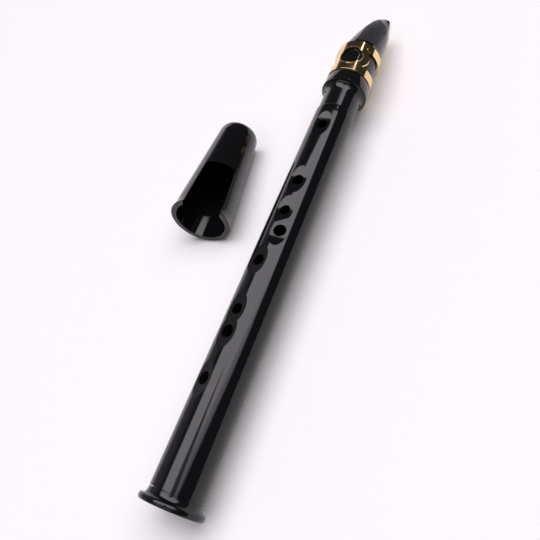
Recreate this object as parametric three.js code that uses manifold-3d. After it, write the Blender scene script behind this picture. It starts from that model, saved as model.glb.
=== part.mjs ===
// A pocket saxophone: a keyless moulded horn with a single reed mouthpiece, lying beside its cap.
// Millimetres, +Z up. The horn lies along +Y, leaning on its bell rim and on its ligature screws.
// Every piece of the horn is made on the horn's own axis, with y = 0 at the bell face and +z at the front.

import * as THREE from 'three';
import { mergeVertices } from 'three/addons/utils/BufferGeometryUtils.js';
import Module from 'manifold-3d';

// Clearances
const seamGap = 0.3;              // between two pieces that seat on each other
const cutMargin = 2;              // how far a cutter reaches past what it cuts

// Body tube
const bodyLength = 228;           // bell face to the end of the tube
const tubeRadiusBell = 12.85;
const tubeRadiusTop = 11.8;
const tubeEdge = 0.8;             // rounding at the top end
const boreRadius = 7.9;
const socketRadius = 9.9;
const tenonLength = 11;
const mouthChamfer = 0.4;

// Bell ring, glued on the lower end
const beadRadius = 15.7;          // outside radius of the rim
const beadThickness = 3;
const rimFaceWidth = 1.2;         // flat on the end of the rim
const bellSeam = 6.3;             // bell face to the seam with the tube
const bellMouthRadius = 12.7;
const flareLength = 20;           // bell face to where the flare runs into the bore
const flarePower = 2.2;
const spigotRadius = 11;
const spigotLength = 5.3;

// Finger holes, by distance from the bell face, turn from the front and diameter
const fingerHoles = [
  { name: 'hole_8', along: 56.5, turn: -21, diameter: 6.6 },
  { name: 'hole_7', along: 80.8, turn: -11.5, diameter: 6.8 },
  { name: 'hole_6', along: 93, turn: -11.5, diameter: 6 },
  { name: 'hole_5', along: 121, turn: -11.5, diameter: 6.3 },
  { name: 'hole_4', along: 139.6, turn: 13, diameter: 6.9 },
  { name: 'hole_3', along: 152.2, turn: 3, diameter: 6 },
  { name: 'hole_2', along: 172.3, turn: 3, diameter: 6.5 },
  { name: 'hole_1', along: 212.5, turn: 3, diameter: 6.2 },
  { name: 'thumb_hole', along: 192, turn: 183, diameter: 6.4 },
];
const scoopDepth = 1;             // each hole sits in a hollow for the fingertip
const scoopRadius = 43;           // of the drum that cuts the hollow across the tube

// Mouthpiece
const mouthpieceTurn = 0;         // degrees that the beak is turned from the front of the body
const neckRadius = 11.05;
const neckLength = 12.4;
const neckFilletLength = 4.9;
const collarRadius = 13.8;
const collarEndRadius = 13.55;
const collarLength = 7.8;
const collarEdge = 0.35;
const barrelRadius = 12.75;
const barrelEndRadius = 12.5;
const barrelLength = 23.5;
const beakLength = 45.1;
const beakTipRadius = 7.4;        // of the leaning cone that the beak is cut from
const beakTipDrop = 9.7;          // of that cone's centre at the tip
const tableDepth = 9;             // axis to the flat that the reed lies on
const tableStart = 4;             // from the lower edge of the collar
const tipOpening = 1;             // of the curved facing, at the tip
const facingLength = 20;
const tipThickness = 1;
const tipArcRadius = 9;
const biteLength = 49;            // of the bite surface, which starts under the ligature
const biteRidgePower = 1.15;      // how much its middle line hollows towards the tip
const biteEdgeRise = 14.2;        // of its edges, from the tip to its start
const biteEdgePower = 2.4;
const tenonRadius = 9.5;
const mouthpieceBore = 6.2;
const windowLength = 32;
const windowWidth = 10.4;
const windowTipWall = 1.8;
const baffleRise = 9;

// O-rings on the tenon
const ringGrooveDepth = 1.1;
const ringGrooveWidth = 2.1;
const ringThickness = 0.8;
const ringPlaces = [3, 7.4];      // from the mouthpiece's shoulder

// Reed
const reedLength = 67.4;
const reedHeelWidth = 11.6;
const reedTipWidth = 13;
const reedThickness = 3.1;
const reedTipThickness = 0.35;
const reedBarkRadius = 13.5;
const vampLength = 33;

// Ligature
const bandRadius = 13.1;          // inside
const bandThickness = 0.65;
const ligatureSetBack = 0.6;      // from the collar
const ligatureLength = 23.4;
const bandWidth = 5.5;
const ringPlateRadius = 10.4;
const windowRadius = 6.5;
const lipWidth = 0.9;
const lipHeight = 0.4;
const bandGap = 3.8;              // between the band's two ends
const postLength = 4.4;
const postRadius = 2.4;
const screwDrop = 17.8;           // horn axis to screw axis
const screwRadius = 1.2;
const screwReach = 8;             // how far the point passes the middle
const hubRadius = 2.3;
const hubLength = 2;
const knobRadius = 4.5;
const knobThickness = 2.6;
const knobEdge = 0.5;

// Mouthpiece cap
const capLength = 73.6;
const capRimRadius = 18.3;
const capLip = 0.5;               // how far the rim stands out from the cone
const capEndRadius = 12.71;       // where the end starts to draw in
const capEndLength = 2.4;
const capEndStep = 0.95;
const capEdge = 0.3;
const capBore = 15.1;             // straight part, which passes over the ligature
const capBoreLength = 31;
const capEndWall = 2;
const capSideWall = 1.7;
const capSlotLength = 34.5;
const capSlotWidthRim = 22.4;
const capSlotWidthEnd = 18.2;
const capSlotTurn = 29;           // degrees that the slot is turned from straight up
const capPlace = { x: -58, y: 145.6 };   // middle of its rim on the floor
const capHeading = -6.9;          // degrees from +Y

// Fineness of the round forms
const roundSegments = 48;
const smallSegments = 20;
const scoopSegments = 10;
const curveSteps = 4;

const degrees = Math.PI / 180;

const wasm = await Module();
wasm.setup();

// Solids

function toSolid(geometry) {
  const bare = geometry.clone();
  bare.deleteAttribute('normal');
  bare.deleteAttribute('uv');
  const merged = mergeVertices(bare, 1e-4);
  const mesh = new wasm.Mesh({
    numProp: 3,
    vertProperties: new Float32Array(merged.attributes.position.array),
    triVerts: new Uint32Array(merged.index.array),
  });
  return new wasm.Manifold(mesh);
}

function toGeometry(solid) {
  const mesh = solid.getMesh();
  const geometry = new THREE.BufferGeometry();
  geometry.setAttribute('position', new THREE.BufferAttribute(new Float32Array(mesh.vertProperties), 3));
  geometry.setIndex(new THREE.BufferAttribute(new Uint32Array(mesh.triVerts), 1));
  geometry.computeVertexNormals();
  return geometry;
}

// Turns a closed outline of [radius, y] points round the y axis, its outside wall drawn upwards.
function revolve(outline, segments = roundSegments) {
  const points = outline.map(([radius, y]) => new THREE.Vector2(Math.max(radius, 0), y));
  points.push(points[0].clone());
  return toSolid(new THREE.LatheGeometry(points, segments));
}

// Extrudes an outline of [x, y] points by depth, centred on its own plane.
function extrude(outline, depth) {
  const shape = new THREE.Shape(outline.map(([x, y]) => new THREE.Vector2(x, y)));
  const geometry = new THREE.ExtrudeGeometry(shape, { depth, bevelEnabled: false });
  geometry.translate(0, 0, -depth / 2);
  return geometry;
}

// An outline of [y, z] points, extruded across the horn.
function acrossHorn(outline, width) {
  const geometry = extrude(outline, width);
  const yAxis = new THREE.Vector3(0, 1, 0);
  const zAxis = new THREE.Vector3(0, 0, 1);
  const xAxis = new THREE.Vector3(1, 0, 0);
  geometry.applyMatrix4(new THREE.Matrix4().makeBasis(yAxis, zAxis, xAxis));
  return geometry;
}

// A plain cylinder that points out from the axis at the front, between two heights.
function radialCylinder(radius, from, to) {
  const geometry = new THREE.CylinderGeometry(radius, radius, to - from, smallSegments);
  geometry.rotateX(Math.PI / 2);
  geometry.translate(0, 0, (from + to) / 2);
  return geometry;
}

// A skin through circles that may shift towards the front, each given as { y, radius, centre }.
function loft(stations) {
  const positions = [];
  const indices = [];
  for (const { y, radius, centre } of stations) {
    for (let i = 0; i < roundSegments; i += 1) {
      const angle = (2 * Math.PI * i) / roundSegments;
      positions.push(radius * Math.sin(angle), y, centre + radius * Math.cos(angle));
    }
  }
  for (let ring = 0; ring < stations.length - 1; ring += 1) {
    for (let i = 0; i < roundSegments; i += 1) {
      const a = ring * roundSegments + i;
      const b = ring * roundSegments + ((i + 1) % roundSegments);
      indices.push(a, b, a + roundSegments, b, b + roundSegments, a + roundSegments);
    }
  }
  const lastRing = (stations.length - 1) * roundSegments;
  for (let i = 1; i < roundSegments - 1; i += 1) {
    indices.push(0, i + 1, i);
    indices.push(lastRing, lastRing + i, lastRing + i + 1);
  }
  const geometry = new THREE.BufferGeometry();
  geometry.setAttribute('position', new THREE.Float32BufferAttribute(positions, 3));
  geometry.setIndex(indices);
  return toSolid(geometry);
}

// Everything above a surface, given as rows of [x, y, z] points, up to a level top.
function blockAbove(rows, high) {
  const count = rows[0].length;
  const positions = rows.flatMap((row) => [...row, ...row.map(([x, y]) => [x, y, high])]).flat();
  const indices = [];
  const quad = (a, b, c, d) => indices.push(a, b, c, b, d, c);
  for (let k = 0; k < rows.length - 1; k += 1) {
    const low = 2 * count * k;
    const next = low + 2 * count;
    for (let i = 0; i < count - 1; i += 1) {
      quad(low + i, next + i, low + i + 1, next + i + 1);
      quad(low + count + i, low + count + i + 1, next + count + i, next + count + i + 1);
    }
    quad(low, low + count, next, next + count);
    quad(low + count - 1, next + count - 1, low + 2 * count - 1, next + 2 * count - 1);
  }
  const last = 2 * count * (rows.length - 1);
  for (let i = 0; i < count - 1; i += 1) {
    quad(i, i + 1, i + count, i + count + 1);
    quad(last + i, last + i + count, last + i + 1, last + i + count + 1);
  }
  const geometry = new THREE.BufferGeometry();
  geometry.setAttribute('position', new THREE.Float32BufferAttribute(positions, 3));
  geometry.setIndex(indices);
  return toSolid(geometry);
}

// Points on an arc about a centre, from one angle to another in degrees.
function arc(centreX, centreY, radiusX, radiusY, from, to, steps = curveSteps) {
  return Array.from({ length: steps + 1 }, (_, i) => {
    const angle = (from + ((to - from) * i) / steps) * degrees;
    return [centreX + radiusX * Math.cos(angle), centreY + radiusY * Math.sin(angle)];
  });
}

// Body tube

function tubeRadius(y) {
  return tubeRadiusBell + ((tubeRadiusTop - tubeRadiusBell) * y) / bodyLength;
}

function flareRadius(y) {
  const depth = Math.max(0, (flareLength - y) / flareLength);
  return boreRadius + (bellMouthRadius - boreRadius) * depth ** flarePower;
}

function flareWall(from, to) {
  return Array.from({ length: curveSteps + 1 }, (_, i) => {
    const y = from + ((to - from) * i) / curveSteps;
    return [flareRadius(y), y];
  });
}

// The fingertip hollow: a drum laid across the tube.
function scoopCutter() {
  const halfAngle = Math.acos(1 - (scoopDepth + cutMargin) / scoopRadius);
  const outline = Array.from({ length: scoopSegments + 1 }, (_, i) => {
    const angle = halfAngle * ((2 * i) / scoopSegments - 1);
    return [scoopRadius * Math.sin(angle), scoopRadius * (1 - Math.cos(angle)) - scoopDepth];
  });
  return acrossHorn(outline, 2 * tubeRadiusBell);
}

function bodyTube() {
  const tubeStart = bellSeam + seamGap;
  const counterboreEnd = tubeStart + spigotLength;
  const socketEnd = bodyLength - tenonLength - seamGap;
  let tube = revolve([
    [tubeRadius(tubeStart), tubeStart],
    [tubeRadius(bodyLength - tubeEdge), bodyLength - tubeEdge],
    ...arc(tubeRadius(bodyLength) - tubeEdge, bodyLength - tubeEdge, tubeEdge, tubeEdge, 30, 90, 2),
    [socketRadius + mouthChamfer, bodyLength],
    [socketRadius, bodyLength - mouthChamfer],
    [socketRadius, socketEnd],
    [boreRadius, socketEnd],
    ...flareWall(flareLength, counterboreEnd),
    [spigotRadius + seamGap, counterboreEnd],
    [spigotRadius + seamGap, tubeStart],
  ]);
  for (const hole of fingerHoles) {
    const radius = tubeRadius(hole.along);
    const scoop = scoopCutter();
    scoop.translate(0, hole.along, radius);
    scoop.rotateY(hole.turn * degrees);
    const drill = radialCylinder(hole.diameter / 2, boreRadius / 2, radius + cutMargin);
    drill.translate(0, hole.along, 0);
    drill.rotateY(hole.turn * degrees);
    tube = tube.subtract(toSolid(scoop)).subtract(toSolid(drill));
  }
  return tube;
}

function bellRing() {
  const beadRound = beadThickness / 2;
  const beadMiddle = beadRadius - beadRound;
  const faceInner = beadMiddle - rimFaceWidth / 2;
  const faceOuter = beadMiddle + rimFaceWidth / 2;
  const wallRadius = tubeRadius(bellSeam);
  const neckHeight = bellSeam - beadThickness;
  return revolve([
    [faceInner, 0],
    [faceOuter, 0],
    ...arc(faceOuter, beadRound, beadRadius - faceOuter, beadRound, -60, 60),
    ...arc(beadMiddle, bellSeam - 0.2 * neckHeight, beadMiddle - wallRadius, 0.85 * neckHeight, 270, 180),
    [wallRadius, bellSeam],
    [spigotRadius, bellSeam],
    [spigotRadius, bellSeam + spigotLength],
    ...flareWall(bellSeam + spigotLength, rimFaceWidth),
  ]);
}

// Mouthpiece, drawn with its beak at the front and the reed at the back

const shoulder = bodyLength + seamGap;
const collarStart = shoulder + neckLength + neckFilletLength;
const barrelStart = collarStart + collarLength;
const beakStart = barrelStart + barrelLength;
const beakTip = beakStart + beakLength;

function mouthpieceSkin() {
  const round = (radius, y, centre = 0) => ({ y, radius, centre });
  const grooves = [...ringPlaces].reverse().flatMap((place) => {
    const low = shoulder - place - ringGrooveWidth / 2;
    const high = low + ringGrooveWidth;
    return [
      round(tenonRadius, low),
      round(tenonRadius - ringGrooveDepth, low),
      round(tenonRadius - ringGrooveDepth, high),
      round(tenonRadius, high),
    ];
  });
  const fillet = arc(collarRadius, shoulder + neckLength, collarRadius - neckRadius, neckFilletLength, 180, 90);
  return loft([
    round(tenonRadius - mouthChamfer, shoulder - tenonLength),
    round(tenonRadius, shoulder - tenonLength + mouthChamfer),
    ...grooves,
    round(tenonRadius, shoulder),
    round(neckRadius - mouthChamfer / 2, shoulder),
    round(neckRadius, shoulder + mouthChamfer / 2),
    ...fillet.map(([radius, y]) => round(radius, y)),
    round(collarEndRadius, barrelStart - collarEdge),
    round(barrelRadius, barrelStart),
    round(barrelEndRadius, beakStart),
    round(beakTipRadius, beakTip, -beakTipDrop),
  ]);
}

// The circle that the beak's skin has at a place along it
function beakCircle(y) {
  const share = Math.min(1, Math.max(0, (y - beakStart) / beakLength));
  return {
    radius: barrelEndRadius + (beakTipRadius - barrelEndRadius) * share,
    centre: -beakTipDrop * share,
  };
}

// Heights of the bite surface along its middle line and along its two edges
function biteHeights(y) {
  const share = Math.max(0, beakTip - y) / biteLength;
  const top = barrelEndRadius + (barrelRadius - barrelEndRadius) / 2;
  const end = tipOpening + tipThickness - tableDepth;
  return {
    ridge: end + (top - end) * share ** biteRidgePower,
    edge: end + biteEdgeRise * share ** biteEdgePower,
  };
}

// The bite surface is rounded across like the barrel where it starts, and flattens towards the tip.
function biteRow(y) {
  const { ridge, edge } = biteHeights(y);
  const { radius, centre } = beakCircle(y);
  const half = Math.sqrt(radius ** 2 - (edge - centre) ** 2);
  const crown = ridge - edge;
  const bow = (half ** 2 + crown ** 2) / (2 * crown);
  const steps = 2 * curveSteps;
  const row = Array.from({ length: steps + 1 }, (_, i) => {
    const x = half * ((2 * i) / steps - 1);
    return [x, y, ridge - x ** 2 / (bow + Math.sqrt(bow ** 2 - x ** 2))];
  });
  return [[-2 * barrelRadius, y, edge], ...row, [2 * barrelRadius, y, edge]];
}

function biteCutter() {
  const steps = 2 * curveSteps;
  const rows = Array.from({ length: steps + 1 }, (_, i) => {
    return biteRow(beakTip - biteLength + ((biteLength + cutMargin) * i) / steps);
  });
  return blockAbove(rows, barrelRadius + cutMargin);
}

// The table for the reed, which curves away from it towards the tip
function tableCutter() {
  const facingStart = beakTip - facingLength;
  const facing = Array.from({ length: curveSteps + 1 }, (_, i) => {
    const along = (facingLength * i) / curveSteps;
    return [facingStart + along, tipOpening * (along / facingLength) ** 2 - tableDepth];
  });
  const low = -2 * tableDepth;
  const start = collarStart + tableStart;
  return acrossHorn([
    [start, low],
    [beakTip + cutMargin, low],
    [beakTip + cutMargin, tipOpening - tableDepth],
    ...facing.reverse(),
    [start, -tableDepth],
  ], 3 * barrelRadius);
}

// What lies inside a rounded tip, seen from the front, between two half widths
function tipOutline(tip, tailHalf, tipHalf, length) {
  const halfAngle = Math.asin(Math.min(1, tipHalf / tipArcRadius)) / degrees;
  const round = arc(0, tip - tipArcRadius, tipArcRadius, tipArcRadius, 90 - halfAngle, 90 + halfAngle);
  return [...round, [-tailHalf, tip - length], [tailHalf, tip - length]];
}

// An outline of [x, y] points, extruded from back to front
function frontToBack(outline, from, to) {
  const geometry = extrude(outline, to - from);
  geometry.translate(0, 0, (from + to) / 2);
  return geometry;
}

function mouthpiece() {
  const wholeLength = tenonLength + beakTip - shoulder + cutMargin;
  const tipHalf = Math.sqrt(beakTipRadius ** 2 - (tableDepth - tipThickness - beakTipDrop) ** 2);
  const tip = frontToBack(tipOutline(beakTip, 2 * collarRadius, tipHalf, wholeLength), -2 * collarRadius, 2 * collarRadius);
  const windowEnd = beakTip - windowTipWall;
  const windowStart = windowEnd - windowLength;
  const window = acrossHorn([
    [windowStart, -2 * tableDepth],
    [windowEnd, -2 * tableDepth],
    [windowEnd, tipOpening - tableDepth],
    [windowStart, baffleRise - tableDepth],
  ], windowWidth);
  const bore = revolve([
    [mouthpieceBore, shoulder - tenonLength - cutMargin],
    [mouthpieceBore, windowStart - mouthpieceBore],
    [mouthpieceBore / 3, windowStart + mouthpieceBore],
    [0, windowStart + mouthpieceBore],
    [0, shoulder - tenonLength - cutMargin],
  ]);
  return mouthpieceSkin()
    .intersect(toSolid(tip))
    .subtract(biteCutter())
    .subtract(toSolid(tableCutter()))
    .subtract(toSolid(window))
    .subtract(bore);
}

function tenonRing(place) {
  const y = shoulder - place;
  const inner = tenonRadius - ringGrooveDepth + seamGap;
  const outer = socketRadius - seamGap;
  const halfHeight = ringThickness;
  return revolve(arc((inner + outer) / 2, y, (outer - inner) / 2, halfHeight, -90, 210, 5), 2 * smallSegments);
}

// Reed: flat underneath, bark on the outside, shaved to a thin tip

function reed() {
  const tip = beakTip - seamGap;
  const heel = tip - reedLength;
  const flat = -tableDepth - seamGap;
  const bark = flat - reedThickness;
  const plan = frontToBack(tipOutline(tip, reedHeelWidth / 2, reedTipWidth / 2, reedLength), bark - cutMargin, flat);
  const vamp = acrossHorn([
    [tip - vampLength, bark - cutMargin],
    [tip + cutMargin, bark - cutMargin],
    [tip + cutMargin, flat - reedTipThickness],
    [tip, flat - reedTipThickness],
    [tip - 0.4 * vampLength, flat - reedTipThickness - 0.2 * reedThickness],
    [tip - 0.85 * vampLength, flat - 0.65 * reedThickness],
    [tip - vampLength, bark],
  ], 2 * reedTipWidth);
  const barkCurve = revolve([
    [reedBarkRadius, heel - cutMargin],
    [reedBarkRadius, tip + cutMargin],
    [0, tip + cutMargin],
    [0, heel - cutMargin],
  ]).translate([0, 0, bark + reedBarkRadius]);
  return toSolid(plan).intersect(barkCurve).subtract(toSolid(vamp));
}

// Ligature, drawn with its round window at the front and its screws at the back

const ligatureStart = barrelStart + ligatureSetBack;
const ligatureEnd = ligatureStart + ligatureLength;
const screwPlaces = [ligatureStart + bandWidth / 2, ligatureEnd - bandWidth / 2];
const postInner = bandGap / 2;
const postOuter = postInner + postLength;
const bandOuter = bandRadius + bandThickness;

function sleeve(inner, outer, from, to) {
  return revolve([[outer, from], [outer, to], [inner, to], [inner, from]]);
}

function ligatureBand() {
  const middle = (ligatureStart + ligatureEnd) / 2;
  const high = bandOuter + cutMargin;
  const disc = radialCylinder(ringPlateRadius, cutMargin, high).translate(0, middle, 0);
  const rim = radialCylinder(windowRadius + lipWidth, cutMargin, high).translate(0, middle, 0);
  const window = radialCylinder(windowRadius, cutMargin / 2, high + cutMargin).translate(0, middle, 0);
  const gap = new THREE.BoxGeometry(bandGap, ligatureLength + 2 * cutMargin, 2 * bandOuter);
  gap.translate(0, middle, -bandOuter);
  const plate = sleeve(bandRadius, bandOuter, ligatureStart, ligatureEnd).intersect(toSolid(disc));
  const lip = sleeve(bandRadius, bandOuter + lipHeight, ligatureStart, ligatureEnd).intersect(toSolid(rim));
  return sleeve(bandRadius, bandOuter, ligatureStart, ligatureStart + bandWidth)
    .add(sleeve(bandRadius, bandOuter, ligatureEnd - bandWidth, ligatureEnd))
    .add(plate)
    .add(lip)
    .subtract(toSolid(window))
    .subtract(toSolid(gap));
}

// A post for the screw, on the band's end at one side: +1 is the threaded side, -1 the knob's
function ligaturePost(y, side) {
  const boss = arc(y, -screwDrop, postRadius, postRadius, -180, 0, 2 * curveSteps);
  const block = acrossHorn([...boss, [y + postRadius, -postRadius], [y - postRadius, -postRadius]], postLength);
  block.translate(side * (postInner + postLength / 2), 0, 0);
  const hole = new THREE.CylinderGeometry(screwRadius + seamGap, screwRadius + seamGap, 4 * postOuter, smallSegments);
  hole.rotateZ(Math.PI / 2);
  hole.translate(0, y, -screwDrop);
  const seat = sleeve(postRadius / 2, bandOuter + seamGap, y - 2 * postRadius, y + 2 * postRadius);
  return toSolid(block).subtract(toSolid(hole)).subtract(seat);
}

// Lathed along its own axis, then laid across the horn with its knob at the left
function ligatureScrew(y) {
  const hubStart = postOuter + seamGap;
  const knobStart = hubStart + hubLength;
  const knobEnd = knobStart + knobThickness;
  return revolve([
    [0, -screwReach],
    [screwRadius, -screwReach],
    [screwRadius, hubStart],
    [hubRadius, hubStart],
    [hubRadius, knobStart],
    [knobRadius - knobEdge, knobStart],
    [knobRadius, knobStart + knobEdge],
    [knobRadius, knobEnd - knobEdge],
    [knobRadius - knobEdge, knobEnd],
    [0, knobEnd + knobEdge],
  ], smallSegments).rotate([0, 0, 90]).translate([0, y, -screwDrop]);
}

// Mouthpiece cap, drawn with its open rim at y = 0 and its slot at the front

function mouthpieceCap() {
  const shell = revolve([
    [capBore, 0],
    [capRimRadius, 0],
    [capRimRadius, capLip],
    [capRimRadius - capLip, 3 * capLip],
    [capEndRadius, capLength - capEndLength],
    [capEndRadius - capEndStep, capLength - capEdge],
    [capEndRadius - capEndStep - capEdge, capLength],
    [0, capLength],
    [0, capLength - capEndWall],
    [capEndRadius - capSideWall - capEdge, capLength - capEndWall],
    [capEndRadius - capSideWall, capLength - capEndWall - capEdge],
    [capBore, capBoreLength],
  ]);
  const slot = frontToBack([
    [-capSlotWidthRim / 2, -cutMargin],
    [capSlotWidthRim / 2, -cutMargin],
    [capSlotWidthEnd / 2, capSlotLength],
    [-capSlotWidthEnd / 2, capSlotLength],
  ], 0, capRimRadius + cutMargin);
  return shell.subtract(toSolid(slot));
}

// Materials

function material(color, roughness, metalness) {
  return new THREE.MeshStandardMaterial({ color, roughness, metalness });
}

const glossBlack = () => material(0x141418, 0.18, 0);
const mattBlack = () => material(0x1d1d1f, 0.35, 0);
const gold = () => material(0xd8a75a, 0.2, 1);
const cane = () => material(0xe6d49a, 0.6, 0);
const rubber = () => material(0x202020, 0.8, 0);

function named(name, solid, finish) {
  const mesh = new THREE.Mesh(toGeometry(solid), finish);
  mesh.name = name;
  return mesh;
}

// Assembly

// The ligature leans until a knob and a post touch the floor together.
const knobStart = postOuter + seamGap + hubLength;
const knobReach = screwDrop + knobRadius;
const ligatureTurn = Math.atan2(knobRadius - postRadius, knobStart + postOuter);
const ligatureHeight = knobReach * Math.cos(ligatureTurn) - knobStart * Math.sin(ligatureTurn);
const hornTilt = Math.asin((ligatureHeight - beadRadius) / (screwPlaces[0] - beadThickness / 2));

const ligature = new THREE.Group();
ligature.rotation.y = ligatureTurn;
ligature.add(named('ligature_band', ligatureBand(), gold()));
screwPlaces.forEach((y, i) => {
  const which = i === 0 ? 'lower' : 'upper';
  ligature.add(named(`${which}_post_threaded`, ligaturePost(y, 1), gold()));
  ligature.add(named(`${which}_post_plain`, ligaturePost(y, -1), gold()));
  ligature.add(named(`${which}_screw`, ligatureScrew(y), gold()));
});

const head = new THREE.Group();
head.rotation.y = mouthpieceTurn * degrees;
head.add(named('mouthpiece', mouthpiece(), mattBlack()));
head.add(named('reed', reed(), cane()));
ringPlaces.forEach((place, i) => {
  head.add(named(`tenon_ring_${i + 1}`, tenonRing(place), rubber()));
});

const horn = new THREE.Group();
horn.rotation.x = hornTilt;
horn.position.z = beadRadius;
horn.add(named('body_tube', bodyTube(), glossBlack()));
horn.add(named('bell_ring', bellRing(), glossBlack()));
horn.add(head);
horn.add(ligature);

// The cap lies on its cone, so its axis falls towards the closed end.
const coneLean = Math.asin((capRimRadius - capEndRadius) / (capLength - capEndLength));
const capRoll = new THREE.Group();
capRoll.rotation.y = capSlotTurn * degrees;
capRoll.add(named('mouthpiece_cap', mouthpieceCap(), glossBlack()));
const capLean = new THREE.Group();
capLean.rotation.x = -coneLean;
capLean.add(capRoll);
const cap = new THREE.Group();
cap.rotation.z = -capHeading * degrees;
cap.position.set(capPlace.x, capPlace.y, capRimRadius * Math.cos(coneLean));
cap.add(capLean);

// The origin is the middle of the set on the floor.
const set = new THREE.Group();
set.add(horn, cap);
set.updateMatrixWorld(true);
const bounds = new THREE.Box3().setFromObject(set, true);
const middle = bounds.getCenter(new THREE.Vector3());
set.position.set(-middle.x, -middle.y, -bounds.min.z);

const group = new THREE.Group();
group.add(set);
group.updateMatrixWorld(true);

export default group;
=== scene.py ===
"""Looks for a pocket saxophone: gloss black mouldings, a gold ligature and a cane reed."""

import math

import bmesh
import bpy
from mathutils import Matrix, Vector
from mathutils.bvhtree import BVHTree
from mathutils.interpolate import poly_3d_calc


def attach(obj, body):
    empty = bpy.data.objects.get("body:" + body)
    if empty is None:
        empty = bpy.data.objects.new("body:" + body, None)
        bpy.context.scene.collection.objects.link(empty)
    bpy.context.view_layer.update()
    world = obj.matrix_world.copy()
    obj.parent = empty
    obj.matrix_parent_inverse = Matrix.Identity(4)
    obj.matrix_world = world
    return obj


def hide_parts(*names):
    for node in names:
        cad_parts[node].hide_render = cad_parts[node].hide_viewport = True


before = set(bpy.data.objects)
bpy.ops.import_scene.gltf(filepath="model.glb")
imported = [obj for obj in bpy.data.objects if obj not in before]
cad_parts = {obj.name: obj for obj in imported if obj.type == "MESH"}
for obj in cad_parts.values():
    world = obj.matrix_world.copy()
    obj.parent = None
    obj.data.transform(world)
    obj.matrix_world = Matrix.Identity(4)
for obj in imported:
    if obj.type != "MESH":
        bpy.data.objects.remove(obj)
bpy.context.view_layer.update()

# Lengths are in millimetres, as on a drawing, and become metres where a mesh is placed.
MM = 0.001

# Where the horn and the cap lie
HORN_ORIGIN = (31.721, -160.898, 15.736)     # middle of the bell face
HORN_TILT = 1.1632                           # degrees that its axis rises
CAP_ORIGIN = (-26.279, -15.298, 18.280)      # middle of the cap's rim
CAP_AXIS = (-0.119766, 0.989693, -0.078511)
CAP_SLOT = (0.473049, 0.126414, 0.871920)    # the way that its slot faces

# Clearances
SEAM_GAP = 0.3
CUT_MARGIN = 2.0

# Body tube
BODY_LENGTH = 228.0
TUBE_RADIUS_BELL = 12.85
TUBE_RADIUS_TOP = 11.8
TUBE_EDGE = 0.8
BORE_RADIUS = 7.9
SOCKET_RADIUS = 9.9
TENON_LENGTH = 11.0
MOUTH_CHAMFER = 0.4

# Bell ring
BEAD_RADIUS = 15.7
BEAD_THICKNESS = 3.0
RIM_FACE_WIDTH = 1.2
BELL_SEAM = 6.3
BELL_SEAM_EDGE = 0.12
BELL_MOUTH_RADIUS = 12.7
FLARE_LENGTH = 20.0
FLARE_POWER = 2.2
SPIGOT_RADIUS = 11.0
SPIGOT_LENGTH = 5.3

# Finger holes: distance from the bell face, turn from the front in degrees, diameter
FINGER_HOLES = (
    (56.5, -21, 6.6),
    (80.8, -11.5, 6.8),
    (93.0, -11.5, 6.0),
    (121.0, -11.5, 6.3),
    (139.6, 13, 6.9),
    (152.2, 3, 6.0),
    (172.3, 3, 6.5),
    (212.5, 3, 6.2),
    (192.0, 183, 6.4),
)
SCOOP_DEPTH = 1.0
SCOOP_RADIUS = 43.0

# Mouthpiece
NECK_RADIUS = 11.05
NECK_LENGTH = 12.4
NECK_FILLET_LENGTH = 4.9
COLLAR_RADIUS = 13.8
COLLAR_END_RADIUS = 13.55
COLLAR_LENGTH = 7.8
COLLAR_EDGE = 0.35
BARREL_RADIUS = 12.75
BARREL_END_RADIUS = 12.5
BARREL_LENGTH = 23.5
BEAK_LENGTH = 45.1
BEAK_TIP_RADIUS = 7.4
BEAK_TIP_DROP = 9.7
BEAK_BULGE = 0.8
TABLE_DEPTH = 9.0
TABLE_START = 4.0
TIP_OPENING = 1.0
FACING_LENGTH = 20.0
TIP_THICKNESS = 1.0
TIP_ARC_RADIUS = 9.0
BITE_LENGTH = 46.0
BITE_TIP_CROWN = 0.7
BITE_BULGE = 0.3
BITE_EDGE_RISE = 10.2
BITE_EDGE_POWER = 1.7
PATCH_START = 281.0
PATCH_START_LEFT = 0.5
PATCH_BORDER = 0.3
PATCH_SINK = 0.04
TENON_RADIUS = 9.5
MOUTHPIECE_BORE = 6.2
WINDOW_LENGTH = 32.0
WINDOW_WIDTH = 10.4
WINDOW_TIP_WALL = 1.8
BAFFLE_RISE = 9.0
RING_GROOVE_DEPTH = 1.1
RING_GROOVE_WIDTH = 2.1
RING_THICKNESS = 0.8
RING_PLACES = (3.0, 7.4)

# Reed
REED_LENGTH = 67.4
REED_HEEL_WIDTH = 11.6
REED_TIP_WIDTH = 13.0
REED_THICKNESS = 3.1
REED_TIP_THICKNESS = 0.35
REED_EDGE_THICKNESS = 0.12                   # nowhere thinner than this
REED_BARK_RADIUS = 13.5
REED_TIP_ROUND = 12.0                        # how far back its rows still follow the round tip
VAMP_LENGTH = 33.0
VAMP_CURVE = (0.45, 0.55, 2.2)               # straight share, curved share and its power
VAMP_CROWN = 0.22                            # how much thinner the edges are than the middle

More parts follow.
